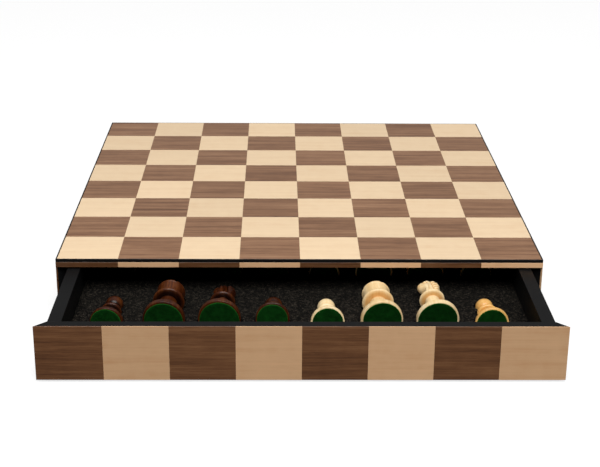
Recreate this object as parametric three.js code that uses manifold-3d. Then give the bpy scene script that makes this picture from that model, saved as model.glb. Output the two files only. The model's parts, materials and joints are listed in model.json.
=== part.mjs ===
// Chess set in a box: a chequered board on top, and one drawer under it that holds the 32 chessmen.
// Millimetres, +Z up. The origin is the centre of the case's footprint, on the face that it stands on.
// The drawer opens towards -Y and is drawn part open.
import * as THREE from "three";
import { mergeVertices } from "three/addons/utils/BufferGeometryUtils.js";
import Module from "manifold-3d";

const wasm = await Module();
wasm.setup();

// Driving dimensions.
const SQUARE = 50; // one square of the board
const SQUARES = 8; // squares along each side of the board
const EDGE = 1.25; // the black line round the board, and the thickness of all edge veneers
const CASE_HEIGHT = 55;
const DRAWER_OPEN = 112.5; // how far the drawer stands out of the case

// The top panel.
const FACE_VENEER = 0.75; // thickness of the board's veneer
const TOP_PANEL = 7.2; // whole thickness, veneer included
const TRIM_HEIGHT = 2.8; // height of the black trim round the top panel
const BOARD = SQUARE * SQUARES;
const CORE_HALF = BOARD / 2;
const OUTER_HALF = CORE_HALF + EDGE;
const TOP_UNDERSIDE = CASE_HEIGHT - TOP_PANEL;

// The case below it.
const FELT = 1.5;
const FELT_INSET = 2.25;
const WALL = 9; // side and back walls, veneer included
const WALL_INNER = OUTER_HALF - WALL;
const CASE_BOTTOM = 4;
const MITRE_GAP = 0.5; // left between the mitred ends of the drawer front and of the side walls

// The drawer, drawn closed: its front face is flush with the case.
const FRONT_THICKNESS = 9;
const FRONT_BOTTOM = 1.75;
const DRAWER_TOP = 46.25;
const DRAWER_UNDERSIDE = 5.75;
const SIDE_CLEARANCE = 0.5;
const SIDE_THICKNESS = 10.5;
const BACK_THICKNESS = 8;
const DRAWER_FLOOR = 9.25; // upper face of the drawer's bottom
const DRAWER_LENGTH = 389;
const DRAWER_FRONT_Y = -OUTER_HALF;
const INNER_FRONT_Y = DRAWER_FRONT_Y + FRONT_THICKNESS;
const DRAWER_BACK_Y = DRAWER_FRONT_Y + DRAWER_LENGTH;
const SIDE_OUTER = WALL_INNER - SIDE_CLEARANCE;
const SIDE_INNER = SIDE_OUTER - SIDE_THICKNESS;

// The foam insert, and the chessmen in it.
const FOAM_TOP = 24.25;
const FOAM_GAP = 0.25;
const POCKET_GAP = 1.5;
const POCKET_BASE_GAP = 2.5;
const REST_GAP = 0.3; // under each lying chessman
const FIRST_ROW = 44.6; // from the inner face of the drawer front to the first row of bases
const ROW_PITCHES = [0, 100.4, 71, 93]; // each row of bases from the one in front of it
const COLUMNS = [21.8, 64.6, 109, 153]; // distance of the columns from the middle, on either side
const LATHE_SIDES = 14;

function material(colour, roughness) {
  return new THREE.MeshStandardMaterial({ color: colour, roughness, metalness: 0 });
}

const FINISH = {
  maple: material(0xe9d6b0, 0.35),
  walnut: material(0x8c6c54, 0.35),
  black: material(0x1d1d1e, 0.4),
  board: material(0xcaa682, 0.6),
  felt: material(0x10200f, 0.95),
  foam: material(0x27241f, 0.95),
  dark: material(0x5a2216, 0.3),
  light: material(0xe8c98c, 0.35),
};

function named(name, geometry, finish) {
  const mesh = new THREE.Mesh(geometry, finish);
  mesh.name = name;
  return mesh;
}

// A box given by its lowest and highest corners.
function boxBetween(low, high) {
  const size = high.map((value, axis) => value - low[axis]);
  const middle = high.map((value, axis) => (value + low[axis]) / 2);
  return new THREE.BoxGeometry(...size).translate(...middle);
}

function block(name, low, high, finish) {
  return named(name, boxBetween(low, high), finish);
}

// A plan outline, a list of [x, y], raised from one height to another.
function raised(name, plan, low, high, finish, hole = null) {
  const shape = outline(plan);
  if (hole) shape.holes = [outline(hole)];
  const options = { depth: high - low, bevelEnabled: false, steps: 1 };
  const mesh = named(name, new THREE.ExtrudeGeometry(shape, options), finish);
  mesh.position.z = low;
  return mesh;
}

function outline(points) {
  return new THREE.Shape(points.map(([x, y]) => new THREE.Vector2(x, y)));
}

function rectangle(x0, x1, y0, y1) {
  return [[x0, y0], [x1, y0], [x1, y1], [x0, y1]];
}

function mirrored(plan, side) {
  const turned = plan.map(([x, y]) => [side * x, y]);
  return side < 0 ? turned.reverse() : turned;
}

// Solids for manifold-3d, which joins a carved chessman's pieces and cuts the foam's pockets.
function solid(geometry) {
  const bare = geometry.clone();
  bare.deleteAttribute("normal");
  bare.deleteAttribute("uv");
  const merged = mergeVertices(bare, 1e-3);
  return new wasm.Manifold(
    new wasm.Mesh({
      numProp: 3,
      vertProperties: merged.attributes.position.array,
      triVerts: new Uint32Array(merged.index.array),
    }),
  );
}

function joined(geometries) {
  return surface(geometries.map(solid).reduce((sum, next) => sum.add(next)));
}

function cut(geometry, tools) {
  return surface(tools.map(solid).reduce((rest, tool) => rest.subtract(tool), solid(geometry)));
}

function surface(body) {
  const mesh = body.getMesh();
  const geometry = new THREE.BufferGeometry();
  geometry.setAttribute("position", new THREE.BufferAttribute(mesh.vertProperties, 3));
  geometry.setIndex(new THREE.BufferAttribute(mesh.triVerts, 1));
  geometry.computeVertexNormals();
  return geometry;
}

// The board and its edges.
function topPanel() {
  const group = new THREE.Group();
  const half = CORE_HALF;
  const veneerBottom = CASE_HEIGHT - FACE_VENEER;
  const trimBottom = CASE_HEIGHT - TRIM_HEIGHT;
  group.add(block("top_core", [-half, -half, TOP_UNDERSIDE], [half, half, veneerBottom], FINISH.black));
  group.add(block("board_veneer", [-half, -half, veneerBottom], [half, half, CASE_HEIGHT], FINISH.board));
  const outer = rectangle(-OUTER_HALF, OUTER_HALF, -OUTER_HALF, OUTER_HALF);
  const inner = rectangle(-half, half, -half, half);
  group.add(raised("edge_trim", outer, trimBottom, CASE_HEIGHT, FINISH.black, inner));
  ["front", "right", "back", "left"].forEach((side, turn) => {
    const strip = raised(side + "_edge_strip", mitredStrip(), TOP_UNDERSIDE, trimBottom, FINISH.board);
    strip.geometry.rotateZ((turn * Math.PI) / 2);
    roundToGrid(strip.geometry);
    group.add(strip);
  });
  return group;
}

// The front edge's veneer in plan, with its ends cut at 45 degrees.
function mitredStrip() {
  return [
    [-OUTER_HALF, -OUTER_HALF],
    [OUTER_HALF, -OUTER_HALF],
    [CORE_HALF, -CORE_HALF],
    [-CORE_HALF, -CORE_HALF],
  ];
}

// A quarter turn leaves a rounding error; all dimensions here are multiples of 1/16 mm.
function roundToGrid(geometry) {
  const values = geometry.attributes.position.array;
  values.forEach((value, i) => {
    values[i] = Math.round(value * 16) / 16;
  });
}

// The side walls end in front in a 45 degree mitre, which meets the drawer front's.
function mitreY(x) {
  return -x + MITRE_GAP;
}

function sideWall(name, side) {
  const group = new THREE.Group();
  const panel = [
    [WALL_INNER, mitreY(WALL_INNER)],
    [CORE_HALF, mitreY(CORE_HALF)],
    [CORE_HALF, WALL_INNER],
    [WALL_INNER, WALL_INNER],
  ];
  const veneer = [
    [CORE_HALF, mitreY(CORE_HALF)],
    [OUTER_HALF, mitreY(OUTER_HALF)],
    [OUTER_HALF, OUTER_HALF],
    [CORE_HALF, CORE_HALF],
  ];
  group.add(raised(name + "_panel", mirrored(panel, side), FELT, TOP_UNDERSIDE, FINISH.black));
  group.add(raised(name + "_veneer", mirrored(veneer, side), FELT, TOP_UNDERSIDE, FINISH.board));
  return group;
}

function backWall() {
  const group = new THREE.Group();
  const low = [-CORE_HALF, WALL_INNER, FELT];
  const high = [CORE_HALF, CORE_HALF, TOP_UNDERSIDE];
  const veneer = [
    [-CORE_HALF, CORE_HALF],
    [CORE_HALF, CORE_HALF],
    [OUTER_HALF, OUTER_HALF],
    [-OUTER_HALF, OUTER_HALF],
  ];
  group.add(block("back_panel", low, high, FINISH.black));
  group.add(raised("back_veneer", veneer, FELT, TOP_UNDERSIDE, FINISH.board));
  return group;
}

function caseBottom() {
  const group = new THREE.Group();
  const frontY = mitreY(WALL_INNER);
  const feltHalf = OUTER_HALF - FELT_INSET;
  const panelTop = FELT + CASE_BOTTOM;
  group.add(
    block("bottom_panel", [-WALL_INNER, frontY, FELT], [WALL_INNER, WALL_INNER, panelTop], FINISH.black),
    block("underside_felt", [-feltHalf, frontY + FELT_INSET, 0], [feltHalf, feltHalf, FELT], FINISH.felt),
  );
  return group;
}

// The drawer front: a black core with a veneer on its face, both with mitred ends.
function drawerFront() {
  const group = new THREE.Group();
  const slice = (depth) => [OUTER_HALF - depth, DRAWER_FRONT_Y + depth];
  const trapezium = (from, to) => {
    const [x0, y0] = slice(from);
    const [x1, y1] = slice(to);
    return [[-x0, y0], [x0, y0], [x1, y1], [-x1, y1]];
  };
  const face = trapezium(0, FACE_VENEER);
  const core = trapezium(FACE_VENEER, FRONT_THICKNESS);
  group.add(raised("drawer_front_veneer", face, FRONT_BOTTOM, DRAWER_TOP, FINISH.board));
  group.add(raised("drawer_front", core, FRONT_BOTTOM, DRAWER_TOP, FINISH.black));
  return group;
}

function drawerTray() {
  const group = new THREE.Group();
  const backInner = DRAWER_BACK_Y - BACK_THICKNESS;
  [["drawer_left_side", -SIDE_OUTER, -SIDE_INNER], ["drawer_right_side", SIDE_INNER, SIDE_OUTER]].forEach(
    ([name, x0, x1]) => {
      const low = [x0, INNER_FRONT_Y, DRAWER_UNDERSIDE];
      group.add(block(name, low, [x1, DRAWER_BACK_Y, DRAWER_TOP], FINISH.black));
    },
  );
  const backLow = [-SIDE_INNER, backInner, DRAWER_UNDERSIDE];
  group.add(block("drawer_back", backLow, [SIDE_INNER, DRAWER_BACK_Y, DRAWER_TOP], FINISH.black));
  const floorLow = [-SIDE_INNER, INNER_FRONT_Y, DRAWER_UNDERSIDE];
  group.add(block("drawer_bottom", floorLow, [SIDE_INNER, backInner, DRAWER_FLOOR], FINISH.black));
  return group;
}

// Half outlines of the turned chessmen, as [radius, distance from the base].
const TURNED = {
  pawn: [
    [0, 0], [13.5, 0], [13.5, 4.4], [10.5, 7.4], [7, 13], [5.6, 20],
    [8.3, 20.8], [8.3, 22.8], [5.3, 25], [4.8, 29.5], [7.2, 34], [6, 39.5], [0, 42],
  ],
  rook: [
    [0, 0], [16.8, 0], [16.8, 6], [13, 10], [9, 18], [7.5, 29],
    [12.7, 30.3], [12.7, 32.8], [9.8, 35], [9.8, 38], [11.4, 49], [8.5, 49], [8.5, 45.5], [0, 45.5],
  ],
  knight: [
    [0, 0], [17, 0], [17, 6], [13, 10], [8.2, 15], [6.2, 21], [6, 30],
    [10.2, 31], [10.2, 33], [7, 34.5], [0, 34.5],
  ],
  bishop: [
    [0, 0], [16, 0], [16, 6], [12, 10], [8.4, 17], [6.6, 29], [7, 37],
    [11, 39], [11, 41], [6.8, 43], [9, 50], [6.6, 57], [2.4, 60], [0, 63],
  ],
  queen: [
    [0, 0], [17.5, 0], [17.5, 6.5], [13, 11], [9.2, 19], [7.4, 34], [7.8, 46],
    [12.5, 48.5], [12.5, 51], [7.8, 53], [12, 69], [8, 70], [3.2, 72], [0, 75],
  ],
  king: [
    [0, 0], [18, 0], [18, 7], [13.5, 12], [9.6, 20], [7.8, 38], [8.2, 51],
    [13, 54], [13, 56.5], [8.2, 58.5], [12, 72], [4.5, 76], [0, 76.5],
  ],
};

const HEIGHT = { pawn: 42, rook: 49, knight: 58.5, bishop: 63, queen: 75, king: 85 };
const MUZZLE_TURN = THREE.MathUtils.degToRad(183); // the lying knights look to the left

function lathe(kind) {
  const points = TURNED[kind].map(([radius, along]) => new THREE.Vector2(radius, along));
  return new THREE.LatheGeometry(points, LATHE_SIDES);
}

// The knight's head is cut from a board: +X is the way it looks, +Y is up the neck.
function horseHead() {
  const thickness = 9;
  const side = [
    [-6.2, 33], [6.2, 33], [6.8, 37], [6.2, 42], [6.8, 46], [8.6, 49.2], [9.4, 52], [8, 54.2],
    [5, 56.2], [1.4, 58.3], [0, 58.5], [-3.2, 57.3], [-6.8, 55], [-8.8, 51.2], [-7.4, 44.6], [-6.6, 37],
  ];
  const options = { depth: thickness, bevelEnabled: false, steps: 1 };
  const geometry = new THREE.ExtrudeGeometry(outline(side), options);
  geometry.translate(0, 0, -thickness / 2);
  return geometry.rotateY(MUZZLE_TURN);
}

function crossBar(width, length, middle) {
  const thickness = 3;
  return new THREE.BoxGeometry(width, length, thickness).translate(0, middle, 0);
}

function kingsCross() {
  const foot = 75;
  const top = HEIGHT.king;
  return [crossBar(3, top - foot, (top + foot) / 2), crossBar(8.5, 3, top - 4)];
}

function chessmanGeometry(kind) {
  if (kind === "knight") return joined([lathe(kind), horseHead()]);
  if (kind === "king") return joined([lathe(kind), ...kingsCross()]);
  return lathe(kind);
}

// What lies in each column of a colour, front row first; the columns run from left to right.
const LAYOUT = [
  ["pawn", "pawn", "pawn", "pawn"],
  ["rook", "bishop", "queen", "rook"],
  ["knight", "bishop", "king", "knight"],
  ["pawn", "pawn", "pawn", "pawn"],
];

// How far each kind's head lies below its base, in degrees.
const TILT = { pawn: 3, knight: -5 };

// The front row has been handled, and lies less evenly. From left to right: distance from the middle, turn
// (positive where the head leans to the left), tilt, and how far the man has ridden up in its pocket.
const FRONT_ROW = [
  [-153.8, -4.3, -1.8, 0.5], [-108.6, -3.3, -4.5, 0], [-64.6, -2.9, -2, 0.2], [-22.4, -0.9, 6.4, 4.8],
  [21.2, 0, 3.4, 1.5], [64.3, 2.2, -3.4, 0], [108.8, 3.3, -7.6, 0], [152, 2.5, 1.2, 0.4],
];

// Every chessman's name, kind, colour and place in the closed drawer.
function places() {
  const counts = {};
  const found = [];
  [["dark", -1], ["light", 1]].forEach(([colour, side]) => {
    LAYOUT.forEach((kinds, column) => {
      const x = side < 0 ? -COLUMNS[COLUMNS.length - 1 - column] : COLUMNS[column];
      let y = INNER_FRONT_Y + FIRST_ROW;
      kinds.forEach((kind, row) => {
        y += ROW_PITCHES[row];
        found.push({ kind, colour, x, y, turn: 0, tilt: TILT[kind] ?? 0, lift: 0 });
      });
    });
  });
  found.sort((a, b) => a.y - b.y || a.x - b.x);
  FRONT_ROW.forEach(([x, turn, tilt, lift], i) => Object.assign(found[i], { x, turn, tilt, lift }));
  found.forEach((man) => {
    const stem = man.colour + "_" + man.kind;
    counts[stem] = (counts[stem] ?? 0) + 1;
    man.name = ["queen", "king"].includes(man.kind) ? stem : stem + "_" + counts[stem];
  });
  return found;
}

function chessman({ name, kind, colour, x, y, turn, tilt, lift }) {
  const mesh = named(name, chessmanGeometry(kind), FINISH[colour]);
  const radius = TURNED[kind][1][0];
  const radians = THREE.MathUtils.degToRad;
  mesh.position.set(x, y, DRAWER_FLOOR + REST_GAP + radius * Math.cos(radians(tilt)) + lift);
  mesh.rotation.set(-radians(tilt), 0, radians(turn), "ZYX");
  return mesh;
}

// A slab of foam with a pocket cut through it for each chessman.
function foamInsert(men) {
  const half = SIDE_INNER - FOAM_GAP;
  const front = INNER_FRONT_Y + FOAM_GAP;
  const back = DRAWER_BACK_Y - BACK_THICKNESS - FOAM_GAP;
  const bottom = DRAWER_FLOOR + FOAM_GAP;
  const slab = boxBetween([-half, front, bottom], [half, back, FOAM_TOP]);
  const pockets = men.map(({ kind, x, y }) => {
    const reach = TURNED[kind][1][0] + POCKET_GAP;
    const low = [x - reach, y - POCKET_BASE_GAP, bottom - 1];
    return boxBetween(low, [x + reach, y + HEIGHT[kind] + POCKET_GAP, FOAM_TOP + 1]);
  });
  return named("foam_insert", cut(slab, pockets), FINISH.foam);
}

function drawer() {
  const group = new THREE.Group();
  const men = places();
  group.add(drawerFront(), drawerTray(), foamInsert(men), ...men.map(chessman));
  group.position.y = -DRAWER_OPEN;
  return group;
}

const chessSet = new THREE.Group();
chessSet.add(topPanel(), sideWall("left", -1), sideWall("right", 1), backWall(), caseBottom(), drawer());

export default chessSet;
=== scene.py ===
"""A chess box: a veneered board over one drawer, in which 32 turned chessmen lie in dark foam.

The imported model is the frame: every size and place comes from its nodes, in metres. +Z is up and the drawer
opens towards -Y. Shapes of the chessmen are written in millimetres, in the man's own frame: Y runs from the
base to the head.
"""

import json
import math
import random

import bmesh
import bpy
import numpy as np
from mathutils import Matrix, Vector, noise


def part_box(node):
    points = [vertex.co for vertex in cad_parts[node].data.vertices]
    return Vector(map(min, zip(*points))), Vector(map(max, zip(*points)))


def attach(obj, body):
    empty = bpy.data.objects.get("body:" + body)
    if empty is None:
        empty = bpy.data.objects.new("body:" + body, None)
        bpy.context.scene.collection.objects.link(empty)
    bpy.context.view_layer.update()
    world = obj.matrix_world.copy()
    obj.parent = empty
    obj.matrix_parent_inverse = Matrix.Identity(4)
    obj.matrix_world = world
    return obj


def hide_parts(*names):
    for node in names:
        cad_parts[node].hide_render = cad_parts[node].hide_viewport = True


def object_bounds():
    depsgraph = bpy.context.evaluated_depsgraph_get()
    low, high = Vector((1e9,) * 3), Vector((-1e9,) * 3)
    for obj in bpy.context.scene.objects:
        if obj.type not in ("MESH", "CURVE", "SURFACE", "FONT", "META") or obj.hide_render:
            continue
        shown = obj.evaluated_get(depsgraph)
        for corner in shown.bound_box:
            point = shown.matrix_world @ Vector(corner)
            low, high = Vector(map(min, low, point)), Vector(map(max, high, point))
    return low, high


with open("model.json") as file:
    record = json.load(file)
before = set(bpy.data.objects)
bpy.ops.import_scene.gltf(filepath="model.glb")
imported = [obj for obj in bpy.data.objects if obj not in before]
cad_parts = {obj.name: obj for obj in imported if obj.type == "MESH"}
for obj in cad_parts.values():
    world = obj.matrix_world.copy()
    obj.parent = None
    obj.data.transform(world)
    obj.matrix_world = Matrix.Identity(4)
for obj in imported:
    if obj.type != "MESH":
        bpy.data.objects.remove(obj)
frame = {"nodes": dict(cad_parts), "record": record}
CAD_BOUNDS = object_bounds()

MM = 0.001
SQUARES = 8
SEED = 20


# ---- the frame

def nodes_in_slot(slot):
    """The CAD nodes whose record entry uses this material slot."""
    return [part["node"] for part in frame["record"]["subparts"] if part["material_slot"] == slot]


def body_of(node):
    """The name of the moving or fixed body that a CAD node belongs to."""
    for body, members in frame["record"]["behaviour"]["bodies"].items():
        if node in members:
            return body
    raise KeyError(node)


BOARD_LOW, BOARD_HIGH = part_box("board_veneer")
SQUARE = (BOARD_HIGH.x - BOARD_LOW.x) / SQUARES
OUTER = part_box("edge_trim")[1].x  # half the width of the board with its trim
FOAM_LOW, FOAM_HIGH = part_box("foam_insert")
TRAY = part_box("drawer_bottom")[1].z  # the floor of the drawer, on which the foam lies
X, Y, Z = Vector((1, 0, 0)), Vector((0, 1, 0)), Vector((0, 0, 1))


# ---- materials

def node_tools(tree):
    """A function that adds a node, and one that feeds a node's inputs with sockets or with plain values."""
    def feed(node, inputs):
        for key, value in inputs.items():
            if isinstance(value, bpy.types.NodeSocket):
                tree.links.new(value, node.inputs[key])
            else:
                node.inputs[key].default_value = value

    def add(kind, inputs=None, **settings):
        node = tree.nodes.new(kind)
        for key, value in settings.items():
            setattr(node, key, value)
        feed(node, inputs or {})
        return node

    return add, feed


def new_material(name):
    """A material, a function that adds nodes to it and one that feeds its Principled node."""
    material = bpy.data.materials.new(name)
    material.use_nodes = True
    add, feed = node_tools(material.node_tree)
    shader = material.node_tree.nodes["Principled BSDF"]
    return material, add, lambda inputs: feed(shader, inputs)


def rgba(colour):
    return (*colour, 1.0)


def attribute(add, name, output="Fac"):
    return add("ShaderNodeAttribute", attribute_name=name).outputs[output]


def calculated(add, operation, *values):
    return add("ShaderNodeMath", dict(enumerate(values)), operation=operation).outputs[0]


def noise_at(add, vector, scale, detail=3.0, roughness=0.55):
    """Noise with a frequency of its own along each axis."""
    place = add("ShaderNodeVectorMath", {0: vector, 1: scale}, operation="MULTIPLY").outputs[0]
    inputs = {"Vector": place, "Scale": 1.0, "Detail": detail, "Roughness": roughness}
    return add("ShaderNodeTexNoise", inputs).outputs["Fac"]


def weighted(add, terms):
    """The sum of (socket - 0.5) * weight over the terms, plus 0.5."""
    total = 0.5
    for socket, weight in terms:
        centred = calculated(add, "SUBTRACT", socket, 0.5)
        total = calculated(add, "MULTIPLY_ADD", centred, weight, total)
    return total


def ramp(add, fac, stops):
    node = add("ShaderNodeValToRGB", {"Fac": fac})
    elements = node.color_ramp.elements
    while len(elements) < len(stops):
        elements.new(0.5)
    for element, (position, colour) in zip(elements, stops):
        element.position = position
        element.color = rgba(colour)
    return node.outputs["Color"]


def between(add, fac, low, high):
    """A number that runs from low to high as the socket runs from 0 to 1."""
    return add("ShaderNodeMapRange", {"Value": fac, "To Min": low, "To Max": high}).outputs[0]


def bumped(add, height, strength, distance):
    inputs = {"Height": height, "Strength": strength, "Distance": distance}
    return add("ShaderNodeBump", inputs).outputs["Normal"]


def scaled_colour(add, colour, tone):
    """The colour multiplied by one plus the tone attribute."""
    factor = calculated(add, "ADD", tone, 1.0)
    return add("ShaderNodeVectorMath", {0: colour, "Scale": factor}, operation="SCALE").outputs[0]


def veneer_material(name, stops, streak, pore, figure, coat):
    """Lacquered veneer. The grain attribute holds millimetres: X along the grain, Y across it."""
    material, add, feed = new_material(name)
    grain = attribute(add, "grain", "Vector")
    tone = attribute(add, "tone")
    bands = noise_at(add, grain, (0.007, 0.16, 0.05), detail=2.0)
    streaks = noise_at(add, grain, (0.022, 0.75, 0.2), detail=4.0, roughness=0.6)
    pores = noise_at(add, grain, (0.14, 3.2, 0.5), detail=2.0)
    mottle = noise_at(add, grain, (0.09, 0.07, 0.1), detail=2.0)
    level = weighted(add, [(bands, streak), (streaks, streak), (pores, pore), (mottle, figure)])
    feed({
        "Base Color": scaled_colour(add, ramp(add, level, stops), tone),
        "Roughness": between(add, pores, 0.34, 0.46),
        "Normal": bumped(add, pores, 0.12, 0.0001),
        "Specular IOR Level": 0.35,
        "Coat Weight": coat,
        "Coat Roughness": 0.22,
    })
    return material


def walnut(name, gain):
    """Brown veneer, with its usual colours multiplied by a gain for red, green and blue."""
    shades = [(0.30, (0.120, 0.052, 0.024)), (0.5, (0.222, 0.108, 0.052)), (0.70, (0.330, 0.178, 0.094))]
    stops = [(position, tuple(g * c for g, c in zip(gain, colour))) for position, colour in shades]
    return veneer_material(name, stops, streak=0.55, pore=0.30, figure=0.10, coat=0.15)


def maple(name, middle, spread=0.10):
    """Pale veneer round a middle colour. Its darker streaks lose more green than red, and more blue still."""
    light = tuple(min(1.0, c * (1 + spread)) for c in middle)
    dark = tuple(c * (1 - spread * (1 + i)) for i, c in enumerate(middle))
    stops = [(0.3, dark), (0.5, middle), (0.7, light)]
    return veneer_material(name, stops, streak=0.32, pore=0.16, figure=0.22, coat=0.15)


def black_lacquer():
    """Satin black paint on board, a little orange-peeled."""
    material, add, feed = new_material("black_lacquer")
    place = add("ShaderNodeTexCoord").outputs["Object"]
    peel = noise_at(add, place, (900, 900, 900), detail=2.0)
    cloud = noise_at(add, place, (40, 40, 40), detail=3.0)
    dust = noise_at(add, place, (2600, 2600, 2600), detail=1.0)
    level = weighted(add, [(cloud, 0.8), (dust, 0.5)])
    stops = [(0.25, (0.0040, 0.0040, 0.0042)), (0.75, (0.0080, 0.0080, 0.0082))]
    feed({
        "Base Color": ramp(add, level, stops),
        "Roughness": between(add, cloud, 0.38, 0.52),
        "Normal": bumped(add, peel, 0.10, 0.0002),
        "Specular IOR Level": 0.10,
    })
    return material


def foam_material():
    """Open-cell foam: dark pits between lighter cell walls a millimetre or so across."""
    material, add, feed = new_material("charcoal_foam")
    place = add("ShaderNodeTexCoord").outputs["Object"]
    cells = add("ShaderNodeTexVoronoi", {"Vector": place, "Scale": 900.0}, feature="F1").outputs["Distance"]
    grit = noise_at(add, place, (1100, 1100, 1100), detail=2.0, roughness=0.7)
    clumps = noise_at(add, place, (430, 430, 430), detail=2.0, roughness=0.6)
    level = weighted(add, [(grit, 1.5), (cells, -0.4), (clumps, 1.3)])
    pit, wall, glint = (0.0008, 0.0007, 0.0005), (0.0042, 0.0036, 0.0026), (0.042, 0.035, 0.027)
    feed({
        "Base Color": ramp(add, level, [(0.25, pit), (0.55, wall), (0.85, glint)]),
        "Roughness": 0.95,
        "Normal": bumped(add, level, 0.9, 0.0008),
        "Specular IOR Level": 0.1,
    })
    return material


PALE_FIBRES = 2.2  # how many times paler than a felt's light shade its palest fibres and its painted highlit edge are


def felt_material(name, dark, light, sheen):
    """Pressed felt: matted fibres with a soft nap. The rim attribute is 1 where its edge is painted paler, a
    painted highlight of light on the cut edge.
    """
    material, add, feed = new_material(name)
    place = add("ShaderNodeTexCoord").outputs["Object"]
    fibres = noise_at(add, place, (2600, 2600, 2600), detail=4.0, roughness=0.8)
    patches = noise_at(add, place, (260, 260, 260), detail=3.0)
    # painted highlight: the rim attribute lightens the felt's edge
    rim = attribute(add, "rim")
    centred_lit_rim = calculated(add, "ADD", rim, 0.5)
    level = weighted(add, [(fibres, 0.9), (patches, 0.7), (centred_lit_rim, 0.45)])
    pale = tuple(PALE_FIBRES * c for c in light)
    feed({
        "Base Color": ramp(add, level, [(0.2, dark), (0.65, light), (1.0, pale)]),
        "Roughness": 0.95,
        "Normal": bumped(add, fibres, 0.7, 0.0004),
        "Specular IOR Level": 0.03,
        "Sheen Weight": sheen,
        "Sheen Roughness": 0.45,
        "Sheen Tint": rgba((0.25, 0.8, 0.35)),
    })
    return material


def multiplied(add, colour, by, amount):
    """The colour multiplied by another one, as far as the amount socket says."""
    inputs = {0: amount, 6: colour, 7: rgba(by)}  # the Mix node's factor, and its two colour sockets
    return add("ShaderNodeMix", inputs, data_type="RGBA", blend_type="MULTIPLY").outputs[2]


def turned_wood(name, stops, groove_shade, warm, gloss, coat):
    """Polished wood of a chessman: fine fibres along it, growth rings, and painted shade in the grooves and
    under the collars.
    """
    material, add, feed = new_material(name)
    grain = attribute(add, "grain", "Vector")
    groove = attribute(add, "groove")
    warmth = attribute(add, "warmth")
    warp = noise_at(add, grain, (0.05, 0.02, 0.05), detail=2.0)
    rings = noise_at(add, grain, (0.55, 0.03, 0.10), detail=2.0)
    fibres = noise_at(add, grain, (2.4, 0.16, 2.4), detail=3.0, roughness=0.6)
    level = weighted(add, [(warp, 0.5), (rings, 0.6), (fibres, 0.35)])
    wood = multiplied(add, ramp(add, level, stops), warm, warmth)
    feed({
        # painted shade: the groove attribute darkens the wood in grooves, under collars and in carved hollows
        "Base Color": multiplied(add, wood, groove_shade, groove),
        "Roughness": between(add, fibres, 0.28, 0.42),
        "Normal": bumped(add, fibres, 0.06, 0.0001),
        "Specular IOR Level": gloss,
        "Coat Weight": coat,
        "Coat Roughness": 0.20,
    })
    return material


BOARD_MAPLE = maple("board_maple", (0.80, 0.60, 0.385), spread=0.07)
BOARD_WALNUT = walnut("board_walnut", gain=(1.06, 1.08, 1.12))
EDGE_MAPLE = maple("edge_maple", (0.61, 0.37, 0.20))
EDGE_WALNUT = walnut("edge_walnut", gain=(0.62, 0.52, 0.41))
BLACK = black_lacquer()
FOAM = foam_material()
GREEN_FELT = felt_material("green_felt", (0.0004, 0.009, 0.0008), (0.003, 0.036, 0.004), sheen=0.02)
BLACK_FELT = felt_material("black_felt", (0.006, 0.006, 0.007), (0.025, 0.025, 0.027), sheen=0.03)
MAN_WOOD = {
    "light": turned_wood(
        "light_wood",
        [(0.3, (0.74, 0.525, 0.26)), (0.5, (0.83, 0.66, 0.39)), (0.72, (0.875, 0.75, 0.515))],
        # the colour of the painted shade in grooves and under collars, amber like light bounced inside pale
        # wood
        groove_shade=(0.82, 0.60, 0.38),
        warm=(0.89, 0.63, 0.32),
        gloss=0.3,
        coat=0.3,
    ),
    "dark": turned_wood(
        "dark_wood",
        [(0.3, (0.015, 0.0031, 0.0010)), (0.5, (0.039, 0.0085, 0.0019)), (0.72, (0.087, 0.0240, 0.0048))],
        # the colour of the painted shade in grooves and under collars, near black
        groove_shade=(0.10, 0.08, 0.10),
        warm=(1.35, 1.35, 1.2),
        gloss=0.14,
        coat=0.14,
    ),
}


# ---- mesh helpers

def put_in_scene(name, data):
    """A new object with this mesh, light or camera."""
    thing = bpy.data.objects.new(name, data)
    bpy.context.scene.collection.objects.link(thing)
    return thing


def mesh_object(name, verts, faces, material):
    mesh = bpy.data.meshes.new(name)
    mesh.from_pydata([tuple(v) for v in verts], [], [tuple(f) for f in faces])
    mesh.materials.append(material)
    mesh.validate()
    mesh.update()
    return put_in_scene(name, mesh)


def object_from(bm, name, *materials):
    """Turns an edited mesh into an object and frees it."""
    mesh = bpy.data.meshes.new(name)
    bm.to_mesh(mesh)
    bm.free()
    for material in materials:
        mesh.materials.append(material)
    return put_in_scene(name, mesh)


def shade_smooth(mesh):
    mesh.polygons.foreach_set("use_smooth", [True] * len(mesh.polygons))


def set_attribute(mesh, name, kind, values):
    layer = mesh.attributes.new(name, kind, "POINT")
    key = "vector" if kind == "FLOAT_VECTOR" else "value"
    layer.data.foreach_set(key, np.asarray(values, np.float32).ravel())


def apply_modifiers(piece):
    """Puts the modified mesh in place of the piece's own."""
    graph = bpy.context.evaluated_depsgraph_get()
    graph.update()
    mesh = bpy.data.meshes.new_from_object(piece.evaluated_get(graph))
    piece.modifiers.clear()
    piece.data = mesh


def boolean(piece, tool, operation):
    """Joins or cuts the piece with a tool, which is then removed."""
    modifier = piece.modifiers.new("join", "BOOLEAN")
    modifier.object = tool
    modifier.operation = operation
    modifier.solver = "EXACT"
    apply_modifiers(piece)
    bpy.data.objects.remove(tool)


# ---- curves and ramps

def ramp_up(value, start, full):
    """0 up to the start, 1 from full on, and straight between them."""
    return min(1.0, max(0.0, (value - start) / (full - start)))


def bell(distance, width):
    return math.exp(-(distance / width) ** 2)


def smooth_step(t):
    t = np.clip(t, 0.0, 1.0)
    return t * t * (3 - 2 * t)


def windows(values, before, after):
    """One row for each place of a window round every value: the values there, held level past both ends."""
    padded = np.pad(values, (before, after), mode="edge")
    return np.array([padded[i:i + len(values)] for i in range(before + after + 1)])


# ---- veneer blocks

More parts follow.
